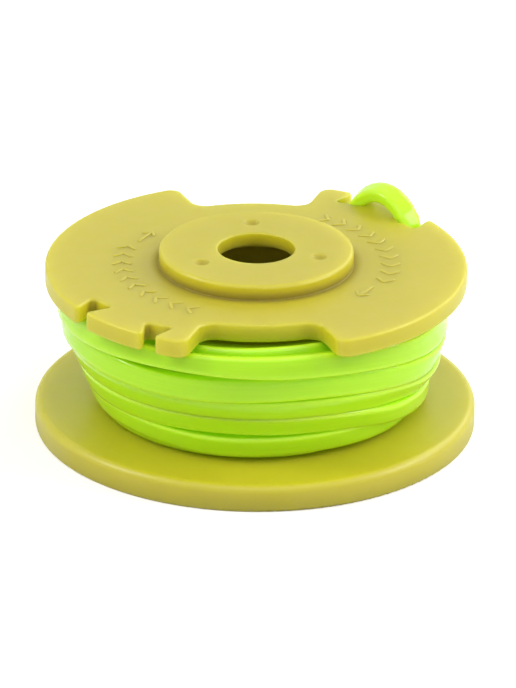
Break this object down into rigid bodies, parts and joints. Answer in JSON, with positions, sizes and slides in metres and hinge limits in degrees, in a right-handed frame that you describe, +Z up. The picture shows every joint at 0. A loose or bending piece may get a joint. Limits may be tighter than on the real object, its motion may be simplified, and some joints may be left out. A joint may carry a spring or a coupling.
{
  "type": "trimmer line spool",
  "caption": "Spool of cutting line for a string trimmer: a moulded body with a lobed, notched upper flange on a hollow hub, wound with line whose end loops through two rim notches.",
  "frame": {"origin": "centre of the underside of the lower flange, on the spindle axis", "axes": "+Z up along the spindle bore; the upper flange's two cut-outs face -Y and +Y"},
  "size_m": [0.062, 0.062, 0.0275],
  "materials": {
    "spool_plastic": "satin moulded plastic, olive yellow",
    "line_nylon": "extruded nylon, fluorescent lime"
  },
  "bodies": {
    "root": {"spool_body": "spool_plastic", "trimmer_line": "line_nylon"}
  },
  "joints": []
}
